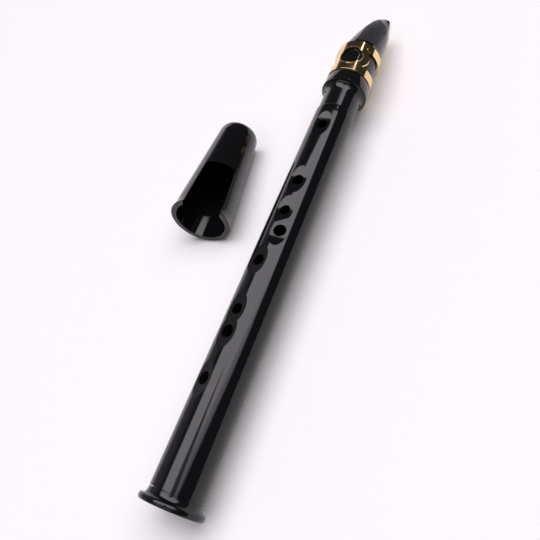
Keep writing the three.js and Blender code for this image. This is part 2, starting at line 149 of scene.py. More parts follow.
# Ligature
BAND_RADIUS = 13.1
BAND_THICKNESS = 0.65
LIGATURE_SET_BACK = 0.6
LIGATURE_LENGTH = 23.4
LIGATURE_TURN = 7.998
BAND_WIDTH = 5.5
BAND_EDGE = 0.15
RING_PLATE_RADIUS = 10.4
WINDOW_RADIUS = 6.5
LIP_WIDTH = 0.7
LIP_HEIGHT = 0.3
BAND_GAP = 3.8
POST_LENGTH = 4.4
POST_RADIUS = 2.4
POST_EDGE = 0.25
SCREW_DROP = 17.8
SCREW_RADIUS = 1.2
SCREW_REACH = 8.0
SCREW_POINT = 0.4
THREAD_PITCH = 0.7
THREAD_DEPTH = 0.14
HUB_RADIUS = 2.3
HUB_LENGTH = 2.0
KNOB_RADIUS = 4.5
KNOB_THICKNESS = 2.6
KNOB_EDGE = 0.5
KNOB_CROWN_RADIUS = 3.3
KNURL_RIDGES = 28
KNURL_DEPTH = 0.22

# Cap
CAP_LENGTH = 73.6
CAP_RIM_RADIUS = 18.3
CAP_LIP = 0.5
CAP_LIP_EDGE = 0.2
CAP_END_RADIUS = 12.71
CAP_END_LENGTH = 2.4
CAP_END_STEP = 0.95
CAP_EDGE = 0.3
CAP_BORE = 15.1
CAP_BORE_EDGE = 0.15
CAP_BORE_LENGTH = 31.0
CAP_END_WALL = 2.0
CAP_SIDE_WALL = 1.7
CAP_SLOT_LENGTH = 34.5
CAP_SLOT_WIDTH_RIM = 22.4
CAP_SLOT_WIDTH_END = 18.2

# Fineness
ROUND = 144
BITE_STEPS = 32
SMALL_ROUND = 64
ROW_LENGTH = 5.0                             # longest face along a straight wall
SMOOTH_ANGLE = math.radians(28)
TOUCH = 0.004                                # a face this close to a source face came from it

# Light, as outlines on a ceiling one unit above the object
KEY_PANEL = ((-0.6, -0.2), (0.62, -0.1), (1.25, 0.35), (0.7, 1.05), (-0.6, 0.5))
KEY_SOFT = (0.06, 0.1, 0.08, 0.03, 0.08)
KEY_RADIANCE = 3.7
KEY_FALL_LINE = ((0.35, 0.0), (1.1, 0.6))    # the panel is dimmer at the right of this line
KEY_FALL_SOFT = 0.18
KEY_FALL = 0.55
WEDGE = ((0.13, 0.21), (0.07, -0.3), (0.5, -0.3), (0.47, -0.06))     # a dark shape in front of the panel
WEDGE_SOFT = 0.03
WEDGE_SHARE = 0.14
FILL_PANEL = ((-0.7, -1.3), (0.7, -1.3), (0.7, -0.5), (-0.7, -0.5))
FILL_SOFT = 0.15
FILL_RADIANCE = 1.15
SPOT_PANEL = ((0.38, 1.06), (0.54, 1.06), (0.44, 1.22))
SPOT_SOFT = 0.02
SPOT_RADIANCE = 4.5

# The room, by direction: white paper low at the left of the far end, and a paler left wall
SWEEP_HEIGHT = (0.2, 0.28)
SWEEP_SIDE = (-0.6, -0.3)
SWEEP_BACK = (0.3, 0.5)
SWEEP_RADIANCE = 0.9
ROOM_SIDE = (-1.0, -0.5)
ROOM_LEFT = 0.35
ROOM_RADIANCE = 0.035
LIGHT_COLOR = (1.0, 0.94, 1.0)

# Floor and camera
FLOOR_COLOR = (0.97, 0.98, 0.97)
FLOOR_HALF = 3000.0
FLOOR_DROP = 0.05
CAMERA_PLACE = (166.59, -149.956, 236.3)
CAMERA_AZIMUTH = -50.696
CAMERA_FALL = 51.282
CAMERA_ROLL = -34.036
CAMERA_LENS = 35.922

# Places along the horn
SHOULDER = BODY_LENGTH + SEAM_GAP
COLLAR_START = SHOULDER + NECK_LENGTH + NECK_FILLET_LENGTH
BARREL_START = COLLAR_START + COLLAR_LENGTH
BEAK_START = BARREL_START + BARREL_LENGTH
BEAK_TIP = BEAK_START + BEAK_LENGTH
LIGATURE_START = BARREL_START + LIGATURE_SET_BACK
LIGATURE_END = LIGATURE_START + LIGATURE_LENGTH
SCREW_PLACES = (LIGATURE_START + BAND_WIDTH / 2, LIGATURE_END - BAND_WIDTH / 2)
POST_INNER = BAND_GAP / 2
POST_OUTER = POST_INNER + POST_LENGTH
BAND_OUTER = BAND_RADIUS + BAND_THICKNESS


# Frames

def placed(origin, x_axis, y_axis, z_axis):
    turn = Matrix((x_axis, y_axis, z_axis)).transposed().to_4x4()
    return Matrix.Translation(Vector(origin) * MM) @ turn @ Matrix.Scale(MM, 4)


def turned(matrix, degrees):
    """The same frame, turned about its own y axis."""
    return matrix @ Matrix.Rotation(math.radians(degrees), 4, "Y")


def horn_frame():
    tilt = math.radians(HORN_TILT)
    along = Vector((0, math.cos(tilt), math.sin(tilt)))
    front = Vector((0, -math.sin(tilt), math.cos(tilt)))
    return placed(HORN_ORIGIN, (1, 0, 0), along, front)


def cap_frame():
    along = Vector(CAP_AXIS).normalized()
    front = Vector(CAP_SLOT)
    front = (front - along * front.dot(along)).normalized()
    return placed(CAP_ORIGIN, along.cross(front), along, front)


HORN = horn_frame()
LIGATURE = turned(HORN, LIGATURE_TURN)
CAP = cap_frame()


# Outlines

def arc(middle_x, middle_y, radius_x, radius_y, start, end, steps=10):
    points = []
    for i in range(steps + 1):
        angle = math.radians(start + (end - start) * i / steps)
        points.append((middle_x + radius_x * math.cos(angle), middle_y + radius_y * math.sin(angle)))
    return points


def in_rows(outline):
    """The closed outline with points added, so that no side is longer than a row."""
    points = []
    for a, b in zip(outline, outline[1:] + outline[:1]):
        count = max(1, math.ceil(math.dist(a, b) / ROW_LENGTH))
        for i in range(count):
            points.append((a[0] + (b[0] - a[0]) * i / count, a[1] + (b[1] - a[1]) * i / count))
    return points


# Meshes

def make_mesh(points, faces):
    """A closed mesh whose faces point outwards, smooth but for its sharp edges."""
    shape = bmesh.new()
    corners = [shape.verts.new(p) for p in points]
    for face in faces:
        shape.faces.new([corners[i] for i in face])
    bmesh.ops.remove_doubles(shape, verts=shape.verts, dist=1e-4)
    bmesh.ops.recalc_face_normals(shape, faces=shape.faces)
    mesh = bpy.data.meshes.new("shape")
    shape.to_mesh(mesh)
    shape.free()
    return smoothed(mesh)


def smoothed(mesh, angle=SMOOTH_ANGLE):
    mesh.shade_smooth()
    mesh.set_sharp_from_angle(angle=angle)
    return mesh


def lathe(outline, segments=ROUND, wave=None):
    """Turns a closed outline of (radius, y) round the y axis.

    wave(radius, y, angle) may change a radius."""
    points, faces = [], []
    for radius, y in outline:
        for i in range(segments):
            angle = 2 * math.pi * i / segments
            r = wave(radius, y, angle) if wave else radius
            points.append((r * math.sin(angle), y, r * math.cos(angle)))
    rings = len(outline)
    for ring in range(rings):
        for i in range(segments):
            a, b = ring * segments, ((ring + 1) % rings) * segments
            j = (i + 1) % segments
            faces.append((a + i, a + j, b + j, b + i))
    return make_mesh(points, [f for f in faces if spans(points, f)])


def spans(points, face):
    """False for a face that has shrunk to a line on the axis."""
    places = {tuple(round(c, 5) for c in points[i]) for i in face}
    return len(places) > 2


def loft(stations):
    """A closed skin through circles, each given as (y, radius, centre height)."""
    points, faces = [], []
    for y, radius, centre in stations:
        for i in range(ROUND):
            angle = 2 * math.pi * i / ROUND
            points.append((radius * math.sin(angle), y, centre + radius * math.cos(angle)))
    for ring in range(len(stations) - 1):
        for i in range(ROUND):
            a, j = ring * ROUND, (i + 1) % ROUND
            faces.append((a + i, a + j, a + ROUND + j, a + ROUND + i))
    last = (len(stations) - 1) * ROUND
    faces.append(tuple(range(ROUND)))
    faces.append(tuple(range(last, last + ROUND)))
    return make_mesh(points, faces)


def prism(outline, place, low, high):
    """Extrudes an outline. place(u, v, w) puts an outline point u, v at the height w."""
    count = len(outline)
    points = [place(u, v, w) for w in (low, high) for u, v in outline]
    faces = []
    for i in range(count):
        j = (i + 1) % count
        faces.append((i, j, count + j, count + i))
    faces.append(tuple(range(count)))
    faces.append(tuple(range(count, 2 * count)))
    return make_mesh(points, faces)


def across(outline, low, high):
    """An outline of (y, z) points, extruded across the horn."""
    return prism(outline, lambda y, z, x: (x, y, z), low, high)


def through(outline, low, high):
    """An outline of (x, y) points, extruded from back to front."""
    return prism(outline, lambda x, y, z: (x, y, z), low, high)


def block_above(rows, high):
    """Everything above a surface, given as rows of points, up to a level top."""
    count = len(rows[0])
    points, faces = [], []
    for row in rows:
        points += row
        points += [(x, y, high) for x, y, _ in row]
    for k in range(len(rows) - 1):
        a, b = 2 * count * k, 2 * count * (k + 1)
        for i in range(count - 1):
            faces.append((a + i, b + i, b + i + 1, a + i + 1))
            faces.append((a + count + i, a + count + i + 1, b + count + i + 1, b + count + i))
        for i in (0, count - 1):
            faces.append((a + i, a + count + i, b + count + i, b + i))
    for a in (0, 2 * count * (len(rows) - 1)):
        for i in range(count - 1):
            faces.append((a + i, a + i + 1, a + count + i + 1, a + count + i))
    return make_mesh(points, faces)


def drill(radius, low, high, segments=SMALL_ROUND):
    return through(arc(0, 0, radius, radius, 0, 360 - 360 / segments, segments - 1), low, high)


def moved(mesh, x=0, y=0, z=0, turn=0):
    """Shifts a mesh, then turns it about the y axis by that many degrees."""
    mesh.transform(Matrix.Rotation(math.radians(turn), 4, "Y") @ Matrix.Translation((x, y, z)))
    return mesh


def evaluated(mesh, add_modifiers):
    """The mesh with modifiers applied."""
    work = bpy.data.objects.new("work", mesh)
    bpy.context.scene.collection.objects.link(work)
    add_modifiers(work)
    graph = bpy.context.evaluated_depsgraph_get()
    result = bpy.data.meshes.new_from_object(work.evaluated_get(graph))
    bpy.data.objects.remove(work)
    return result


def rounded(mesh, width):
    """Rounds every sharp edge."""
    def add(work):
        bevel = work.modifiers.new("edge", "BEVEL")
        bevel.width = width
        bevel.segments = 2
        bevel.limit_method = "ANGLE"
        bevel.angle_limit = math.radians(40)
        bevel.miter_outer = "MITER_ARC"
    return smoothed(evaluated(mesh, add), math.radians(50))


class Carving:
    """A mesh being carved. At the end each face is shaded as the face that it was cut from."""

    def __init__(self, base):
        self.mesh = base
        self.sources = [(base, 0)]

    def apply(self, operation, tool, material=0):
        other = bpy.data.objects.new("tool", tool)
        bpy.context.scene.collection.objects.link(other)

        def add(work):
            carve = work.modifiers.new("carve", "BOOLEAN")
            carve.operation = operation
            carve.solver = "MANIFOLD"
            carve.object = other

        self.mesh = evaluated(self.mesh, add)
        bpy.data.objects.remove(other)
        self.sources.append((tool, material))
        return self

    def cut(self, tool, material=0):
        return self.apply("DIFFERENCE", tool, material)

    def keep(self, tool):
        return self.apply("INTERSECT", tool)

    def join(self, tool):
        return self.apply("UNION", tool)

    def finished(self):
        corners, normals, materials = [], [], []
        for source, material in self.sources:
            shading = [Vector(n.vector) for n in source.corner_normals]
            for face in source.polygons:
                corners.append([source.vertices[i].co.copy() for i in face.vertices])
                normals.append([shading[i] for i in face.loop_indices])
                materials.append(material)
        points, faces = [], []
        for face in corners:
            faces.append(tuple(range(len(points), len(points) + len(face))))
            points += face
        tree = BVHTree.FromPolygons(points, faces)
        mesh = self.mesh
        mesh.shade_smooth()
        custom = [Vector((0, 0, 1))] * len(mesh.loops)
        for face in mesh.polygons:
            found = tree.find_nearest_range(face.center, TOUCH)
            best, match = None, 0.9
            for _, normal, index, _ in found:
                if abs(normal.dot(face.normal)) > match:
                    best, match = index, abs(normal.dot(face.normal))
            for loop in face.loop_indices:
                custom[loop] = face.normal.copy()
            if best is None:
                continue
            face.material_index = materials[best]
            for loop in face.loop_indices:
                point = mesh.vertices[mesh.loops[loop].vertex_index].co
                shares = poly_3d_calc(corners[best], point)
                normal = sum((n * s for n, s in zip(normals[best], shares)), Vector())
                if normal.length > 1e-6:
                    custom[loop] = normal.normalized() * (1 if normal.dot(face.normal) > 0 else -1)
        mesh.normals_split_custom_set(custom)
        return mesh


# Body tube

def tube_radius(y):
    return TUBE_RADIUS_BELL + (TUBE_RADIUS_TOP - TUBE_RADIUS_BELL) * y / BODY_LENGTH


def flare_wall(start, end, steps=16):
    wall = []
    for i in range(steps + 1):
        y = start + (end - start) * i / steps
        depth = max(0.0, (FLARE_LENGTH - y) / FLARE_LENGTH)
        wall.append((BORE_RADIUS + (BELL_MOUTH_RADIUS - BORE_RADIUS) * depth ** FLARE_POWER, y))
    return wall


def scoop_cutter(steps=48):
    half = math.acos(1 - (SCOOP_DEPTH + CUT_MARGIN) / SCOOP_RADIUS)
    outline = []
    for i in range(steps + 1):
        angle = half * (2 * i / steps - 1)
        outline.append((SCOOP_RADIUS * math.sin(angle), SCOOP_RADIUS * (1 - math.cos(angle)) - SCOOP_DEPTH))
    return across(outline, -TUBE_RADIUS_BELL, TUBE_RADIUS_BELL)


def body_tube():
    start = BELL_SEAM + SEAM_GAP
    counterbore_end = start + SPIGOT_LENGTH
    socket_end = BODY_LENGTH - TENON_LENGTH - SEAM_GAP
    edge_radius = tube_radius(BODY_LENGTH) - TUBE_EDGE
    outline = [
        (tube_radius(start), start),
        *arc(edge_radius, BODY_LENGTH - TUBE_EDGE, TUBE_EDGE, TUBE_EDGE, 0, 90, 6),
        (SOCKET_RADIUS + MOUTH_CHAMFER, BODY_LENGTH),
        (SOCKET_RADIUS, BODY_LENGTH - MOUTH_CHAMFER),
        (SOCKET_RADIUS, socket_end),
        (BORE_RADIUS, socket_end),
        *flare_wall(FLARE_LENGTH, counterbore_end),
        (SPIGOT_RADIUS + SEAM_GAP, counterbore_end),
        (SPIGOT_RADIUS + SEAM_GAP, start),
    ]
    tube = Carving(lathe(in_rows(outline)))
    for along, turn, diameter in FINGER_HOLES:
        radius = tube_radius(along)
        tube.cut(moved(scoop_cutter(), y=along, z=radius, turn=turn))
        hole = moved(drill(diameter / 2, BORE_RADIUS / 2, radius + CUT_MARGIN), y=along, turn=turn)
        tube.cut(smoothed(hole))
    return tube.finished()


def bell_ring():
    bead_round = BEAD_THICKNESS / 2
    bead_middle = BEAD_RADIUS - bead_round
    face_inner = bead_middle - RIM_FACE_WIDTH / 2
    face_outer = bead_middle + RIM_FACE_WIDTH / 2
    wall = tube_radius(BELL_SEAM)
    cove = BELL_SEAM - BEAD_THICKNESS
    return lathe([
        (face_inner, 0),
        (face_outer, 0),
        *arc(face_outer, bead_round, BEAD_RADIUS - face_outer, bead_round, -80, 80, 16),
        *arc(bead_middle, BELL_SEAM - 0.2 * cove, bead_middle - wall, 0.85 * cove, 270, 180, 12),
        (wall, BELL_SEAM - BELL_SEAM_EDGE),
        (wall - BELL_SEAM_EDGE, BELL_SEAM),
        (SPIGOT_RADIUS, BELL_SEAM),
        (SPIGOT_RADIUS, BELL_SEAM + SPIGOT_LENGTH),
        *flare_wall(BELL_SEAM + SPIGOT_LENGTH, RIM_FACE_WIDTH),
    ])


# Mouthpiece, drawn with its beak at the front and the reed at the back

def mouthpiece_skin():
    stations = [
        (SHOULDER - TENON_LENGTH, TENON_RADIUS - MOUTH_CHAMFER, 0),
        (SHOULDER - TENON_LENGTH + MOUTH_CHAMFER, TENON_RADIUS, 0),
    ]
    for place in sorted(RING_PLACES, reverse=True):
        low = SHOULDER - place - RING_GROOVE_WIDTH / 2
        high = low + RING_GROOVE_WIDTH
        floor = TENON_RADIUS - RING_GROOVE_DEPTH
        stations += [(low, TENON_RADIUS, 0), (low, floor, 0), (high, floor, 0), (high, TENON_RADIUS, 0)]
    stations += [
        (SHOULDER, TENON_RADIUS, 0),
        (SHOULDER, NECK_RADIUS - MOUTH_CHAMFER / 2, 0),
        (SHOULDER + MOUTH_CHAMFER / 2, NECK_RADIUS, 0),
    ]
    fillet_depth = COLLAR_RADIUS - NECK_RADIUS
    fillet = arc(COLLAR_RADIUS, SHOULDER + NECK_LENGTH, fillet_depth, NECK_FILLET_LENGTH, 180, 90, 14)
    stations += [(y, radius, 0) for radius, y in fillet]
    stations += [
        (BARREL_START - COLLAR_EDGE, COLLAR_END_RADIUS, 0),
        (BARREL_START, COLLAR_END_RADIUS - COLLAR_EDGE / 2, 0),
        (BARREL_START, BARREL_RADIUS, 0),
    ]
    steps = 6
    for i in range(1, steps + 1):
        share = i / steps
        stations.append((
            BARREL_START + BARREL_LENGTH * share,
            BARREL_RADIUS + (BARREL_END_RADIUS - BARREL_RADIUS) * share,
            0,
        ))
    for i in range(1, 2 * steps + 1):
        y = BEAK_START + BEAK_LENGTH * i / (2 * steps)
        stations.append((y, *beak_circle(y)))
    return loft(stations)


def beak_circle(y):
    """Radius and centre height of the beak's skin, which is a little fuller than a cone."""
    share = min(1.0, max(0.0, (y - BEAK_START) / BEAK_LENGTH))
    radius = BARREL_END_RADIUS + (BEAK_TIP_RADIUS - BARREL_END_RADIUS) * share
    return radius + BEAK_BULGE * math.sin(math.pi * share), -BEAK_TIP_DROP * share


def bite_heights(y):
    """Heights of the bite surface along its middle line and along its edges."""
    share = (y - BEAK_START) / BEAK_LENGTH
    end = TIP_OPENING + TIP_THICKNESS - TABLE_DEPTH
    fall = BARREL_END_RADIUS - BEAK_TIP_RADIUS + BEAK_TIP_DROP
    drop = BARREL_END_RADIUS - fall - end - BITE_TIP_CROWN
    ridge = BARREL_END_RADIUS - fall * share
    if share > 0:
        ridge += BITE_BULGE * math.sin(math.pi * min(1.0, share)) - drop * share ** 3
    edge = end + BITE_EDGE_RISE * (max(0.0, BEAK_TIP - y) / BITE_LENGTH) ** BITE_EDGE_POWER
    return max(ridge, edge + 0.1), edge


def bite_half(y):
    radius, centre = beak_circle(y)
    return math.sqrt(radius ** 2 - (bite_heights(y)[1] - centre) ** 2)


def bite_row(y, left, right, sink=0.0):
    """Points across the bite surface: rounded like the barrel at its start, flatter at the tip."""
    ridge, edge = bite_heights(y)
    half = bite_half(y)
    crown = ridge - edge
    bow = (half ** 2 + crown ** 2) / (2 * crown)
    row = []
    for i in range(BITE_STEPS + 1):
        x = left + (right - left) * i / BITE_STEPS
        row.append((x, y, ridge - x * x / (bow + math.sqrt(bow * bow - x * x)) - sink))
    return row


def bite_places():
    start = BEAK_TIP - BITE_LENGTH
    return [start + (BITE_LENGTH + CUT_MARGIN) * i / BITE_STEPS for i in range(BITE_STEPS + 1)]


def bite_cutter():
    rows = []
    for y in bite_places():
        half, edge = bite_half(y), bite_heights(y)[1]
        rows.append([
            (-2 * BARREL_RADIUS, y, edge),
            *bite_row(y, -half, half),
            (2 * BARREL_RADIUS, y, edge),
        ])
    return block_above(rows, BARREL_RADIUS + CUT_MARGIN)


def bite_patch():
    """The matt part of the bite surface: a hair lower, and wider towards the tip."""
    tip_left = -bite_half(BEAK_TIP) + PATCH_BORDER
    rows = []
    for y in bite_places():
        if y >= PATCH_START:
            share = (y - PATCH_START) / (BEAK_TIP - PATCH_START)
            left = PATCH_START_LEFT + (tip_left - PATCH_START_LEFT) * share
            rows.append(bite_row(y, left, bite_half(y) - PATCH_BORDER, PATCH_SINK))
    return block_above(rows, BARREL_RADIUS + CUT_MARGIN)


def table_cutter(steps=14):
    facing_start = BEAK_TIP - FACING_LENGTH
    facing = []
    for i in range(steps + 1):
        along = FACING_LENGTH * i / steps
        facing.append((facing_start + along, TIP_OPENING * (along / FACING_LENGTH) ** 2 - TABLE_DEPTH))
    low = -2 * TABLE_DEPTH
    start = COLLAR_START + TABLE_START
    outline = [
        (start, low),
        (BEAK_TIP + CUT_MARGIN, low),
        (BEAK_TIP + CUT_MARGIN, TIP_OPENING - TABLE_DEPTH),
        *reversed(facing),
        (start, -TABLE_DEPTH),
    ]
    return across(outline, -1.5 * BARREL_RADIUS, 1.5 * BARREL_RADIUS)


def tip_outline(tip_half, tail_half, length):
    """The mouthpiece seen from the front, with its round tip."""
    half_angle = math.degrees(math.asin(min(1.0, tip_half / TIP_ARC_RADIUS)))
    crown = arc(0, BEAK_TIP - TIP_ARC_RADIUS, TIP_ARC_RADIUS, TIP_ARC_RADIUS,
                90 - half_angle, 90 + half_angle, 32)
    return [*crown, (-tail_half, BEAK_TIP - length), (tail_half, BEAK_TIP - length)]


def mouthpiece():
    whole = TENON_LENGTH + BEAK_TIP - SHOULDER + CUT_MARGIN
    tip_half = math.sqrt(BEAK_TIP_RADIUS ** 2 - (TABLE_DEPTH - TIP_THICKNESS - BEAK_TIP_DROP) ** 2)
    window_end = BEAK_TIP - WINDOW_TIP_WALL
    window_start = window_end - WINDOW_LENGTH
    window = across([
        (window_start, -2 * TABLE_DEPTH),
        (window_end, -2 * TABLE_DEPTH),
        (window_end, TIP_OPENING - TABLE_DEPTH),
        (window_start, BAFFLE_RISE - TABLE_DEPTH),
    ], -WINDOW_WIDTH / 2, WINDOW_WIDTH / 2)
    bore = lathe([
        (MOUTHPIECE_BORE, SHOULDER - TENON_LENGTH - CUT_MARGIN),
        (MOUTHPIECE_BORE, window_start - MOUTHPIECE_BORE),
        (MOUTHPIECE_BORE / 3, window_start + MOUTHPIECE_BORE),
        (0, window_start + MOUTHPIECE_BORE),
        (0, SHOULDER - TENON_LENGTH - CUT_MARGIN),
    ], SMALL_ROUND)
    carving = Carving(mouthpiece_skin())
    outline = tip_outline(tip_half, 2 * COLLAR_RADIUS, whole)
    carving.keep(through(outline, -3 * BARREL_RADIUS, 3 * BARREL_RADIUS))
    carving.cut(bite_cutter())
    carving.cut(bite_patch(), material=1)
    carving.cut(table_cutter())
    carving.cut(window)
    carving.cut(bore)
    return carving.finished()


def tenon_ring(place):
    inner = TENON_RADIUS - RING_GROOVE_DEPTH + SEAM_GAP
    outer = SOCKET_RADIUS - SEAM_GAP
    middle, half = (inner + outer) / 2, (outer - inner) / 2
    return lathe(arc(middle, SHOULDER - place, half, RING_THICKNESS, 0, 345, 23), 96)


# Reed, drawn with its flat side at the front

def reed_thickness(along):
    """Thickness in the middle, at a distance from the tip."""
    if along >= VAMP_LENGTH:
        return REED_THICKNESS
    share = along / VAMP_LENGTH
    straight, curved, power = VAMP_CURVE
    rise = straight * share + curved * share ** power
    return REED_TIP_THICKNESS + (REED_THICKNESS - REED_TIP_THICKNESS) * rise


def reed(rows=90, columns=28):
    tip = BEAK_TIP - SEAM_GAP
    flat = -TABLE_DEPTH - SEAM_GAP
    points, faces, bark_faces = [], [], []
    places = [REED_LENGTH * (i / rows) ** 1.35 for i in range(rows + 1)]
    for along in places:
        taper = along / REED_LENGTH
        half = (REED_TIP_WIDTH + (REED_HEEL_WIDTH - REED_TIP_WIDTH) * taper) / 2
        for j in range(columns + 1):
            x = half * (2 * j / columns - 1)
            tip_drop = TIP_ARC_RADIUS - math.sqrt(TIP_ARC_RADIUS ** 2 - x * x)
            y = tip - along - tip_drop * max(0.0, 1 - along / REED_TIP_ROUND)
            round_drop = REED_BARK_RADIUS - math.sqrt(REED_BARK_RADIUS ** 2 - x * x)
            deep = reed_thickness(along)
            bark = REED_THICKNESS - round_drop
            heart = deep * (1 - VAMP_CROWN * (x / half) ** 2)
            thick = min(bark, heart) if along < VAMP_LENGTH else bark
            points.append((x, y, flat))
            points.append((x, y, flat - max(thick, REED_EDGE_THICKNESS)))
    width = columns + 1

    def corner(i, j, back):
        return 2 * (i * width + j) + back

    for i in range(rows):
        for j in range(columns):
            for back in (0, 1):
                faces.append((corner(i, j, back), corner(i, j + 1, back),
                              corner(i + 1, j + 1, back), corner(i + 1, j, back)))
                bark_faces.append(back == 1 and places[i] >= VAMP_LENGTH - 0.5)
        for j in (0, columns):
            faces.append((corner(i, j, 0), corner(i + 1, j, 0), corner(i + 1, j, 1), corner(i, j, 1)))
            bark_faces.append(False)
    for j in range(columns):
        for i in (0, rows):
            faces.append((corner(i, j, 0), corner(i, j + 1, 0), corner(i, j + 1, 1), corner(i, j, 1)))
            bark_faces.append(False)
    mesh = make_mesh(points, faces)
    for face, bark in zip(mesh.polygons, bark_faces):
        face.material_index = int(bark)
    return mesh


# Ligature, drawn with its round window at the front and its screws at the back

def sleeve(inner, outer, low, high, edge=0.0):
    outline = [(outer, low + edge), (outer, high - edge), (outer - edge, high),
               (inner, high), (inner, low), (outer - edge, low)]
    if not edge:
        outline = [(outer, low), (outer, high), (inner, high), (inner, low)]
    return lathe(in_rows(outline))


def ligature_band():
    middle = (LIGATURE_START + LIGATURE_END) / 2
    high = BAND_OUTER + CUT_MARGIN
    disc = moved(drill(RING_PLATE_RADIUS, CUT_MARGIN, high, 2 * SMALL_ROUND), y=middle)
    rim = moved(drill(WINDOW_RADIUS + LIP_WIDTH, CUT_MARGIN, high, 2 * SMALL_ROUND), y=middle)
    window = moved(drill(WINDOW_RADIUS, 1, high + CUT_MARGIN, 2 * SMALL_ROUND), y=middle)
    plate = Carving(sleeve(BAND_RADIUS, BAND_OUTER, LIGATURE_START, LIGATURE_END))
    plate.keep(smoothed(disc))
    lip = Carving(sleeve(BAND_RADIUS, BAND_OUTER + LIP_HEIGHT, LIGATURE_START, LIGATURE_END))
    lip.keep(smoothed(rim))
    band = Carving(sleeve(BAND_RADIUS, BAND_OUTER, LIGATURE_START, LIGATURE_START + BAND_WIDTH, BAND_EDGE))
    band.join(sleeve(BAND_RADIUS, BAND_OUTER, LIGATURE_END - BAND_WIDTH, LIGATURE_END, BAND_EDGE))
    band.join(plate.finished())
    band.join(lip.finished())
    band.cut(smoothed(window))
    gap = through([
        (-BAND_GAP / 2, LIGATURE_START - CUT_MARGIN),
        (BAND_GAP / 2, LIGATURE_START - CUT_MARGIN),
        (BAND_GAP / 2, LIGATURE_END + CUT_MARGIN),
        (-BAND_GAP / 2, LIGATURE_END + CUT_MARGIN),
    ], -2 * BAND_OUTER, 0)
    band.cut(gap)
    return band.finished()


def ligature_post(y, side):
    low = side * POST_INNER if side > 0 else -POST_OUTER
    high = low + POST_LENGTH
    left, right = y - POST_RADIUS, y + POST_RADIUS
    boss = arc(y, -SCREW_DROP, POST_RADIUS, POST_RADIUS, -180, 0, 24)
    seat = sleeve(POST_RADIUS / 2, BAND_OUTER + SEAM_GAP, y - 2 * POST_RADIUS, y + 2 * POST_RADIUS)
    block = across([*boss, (right, -BAND_OUTER), (left, -BAND_OUTER)], low, high)
    hole = across(arc(y, -SCREW_DROP, SCREW_RADIUS + SEAM_GAP, SCREW_RADIUS + SEAM_GAP, 0, 352.5, 47),
                  low - CUT_MARGIN, high + CUT_MARGIN)
    foot = across([(left, -BAND_OUTER), (right, -BAND_OUTER), (right, -POST_RADIUS), (left, -POST_RADIUS)],
                  low, high)
    carving = Carving(rounded(block, POST_EDGE))
    carving.join(foot)
    carving.cut(smoothed(hole))
    carving.cut(seat)
    return carving.finished()


def ligature_screw(y):
    """Lathed along its own axis, then laid across the horn with its knob at the left."""
    hub_start = POST_OUTER + SEAM_GAP
    knob_start = hub_start + HUB_LENGTH
    knob_end = knob_start + KNOB_THICKNESS
    thread_end = POST_INNER
    rows = math.ceil((thread_end + SCREW_REACH) / THREAD_PITCH * 8)
    rod_start = SCREW_POINT - SCREW_REACH
    rod = [(SCREW_RADIUS, rod_start + (thread_end - rod_start) * i / rows) for i in range(rows + 1)]
    outline = [
        (0, -SCREW_REACH),
        (SCREW_RADIUS - 0.35, -SCREW_REACH),
        *rod,
        (SCREW_RADIUS, hub_start),
        (HUB_RADIUS, hub_start),
        (HUB_RADIUS, knob_start),
        (KNOB_RADIUS - KNOB_EDGE, knob_start),
        (KNOB_RADIUS, knob_start + KNOB_EDGE),
        (KNOB_RADIUS, knob_end - KNOB_EDGE),
        (KNOB_RADIUS - KNOB_EDGE, knob_end),
        *arc(0, knob_end, KNOB_CROWN_RADIUS, KNOB_EDGE, 0, 90, 6),
    ]

    def wave(radius, along, angle):
        if along <= thread_end and radius > SCREW_RADIUS - 0.01:
            turn = along / THREAD_PITCH - angle / (2 * math.pi)
            return radius - THREAD_DEPTH * (0.5 + 0.5 * math.cos(2 * math.pi * turn))
        if radius > KNOB_RADIUS - 0.01:
            return radius - KNURL_DEPTH * (0.5 + 0.5 * math.cos(KNURL_RIDGES * angle))
        return radius

    mesh = lathe(outline, KNURL_RIDGES * 6, wave)
    mesh.transform(Matrix.Translation((0, y, -SCREW_DROP)) @ Matrix.Rotation(math.radians(90), 4, "Z"))
    return mesh


# Cap, drawn with its open rim at y = 0 and its slot at the front

def mouthpiece_cap():
    inner_end = CAP_END_RADIUS - CAP_SIDE_WALL
    shell = lathe(in_rows([
        (CAP_BORE + CAP_BORE_EDGE, 0),
        (CAP_RIM_RADIUS - CAP_LIP_EDGE, 0),
        (CAP_RIM_RADIUS, CAP_LIP_EDGE),
        (CAP_RIM_RADIUS, CAP_LIP),
        (CAP_RIM_RADIUS - CAP_LIP, 3 * CAP_LIP),
        (CAP_END_RADIUS, CAP_LENGTH - CAP_END_LENGTH),
        (CAP_END_RADIUS - CAP_END_STEP, CAP_LENGTH - CAP_EDGE),
        (CAP_END_RADIUS - CAP_END_STEP - CAP_EDGE, CAP_LENGTH),
        (0, CAP_LENGTH),
        (0, CAP_LENGTH - CAP_END_WALL),
        (inner_end - CAP_EDGE, CAP_LENGTH - CAP_END_WALL),
        (inner_end, CAP_LENGTH - CAP_END_WALL - CAP_EDGE),
        (CAP_BORE, CAP_BORE_LENGTH),
        (CAP_BORE, CAP_BORE_EDGE),
    ]))
    slot = through([
        (-CAP_SLOT_WIDTH_RIM / 2, -CUT_MARGIN),
        (CAP_SLOT_WIDTH_RIM / 2, -CUT_MARGIN),
        (CAP_SLOT_WIDTH_END / 2, CAP_SLOT_LENGTH),
        (-CAP_SLOT_WIDTH_END / 2, CAP_SLOT_LENGTH),
    ], 0, CAP_RIM_RADIUS + CUT_MARGIN)
    return Carving(shell).cut(slot).finished()


# Materials

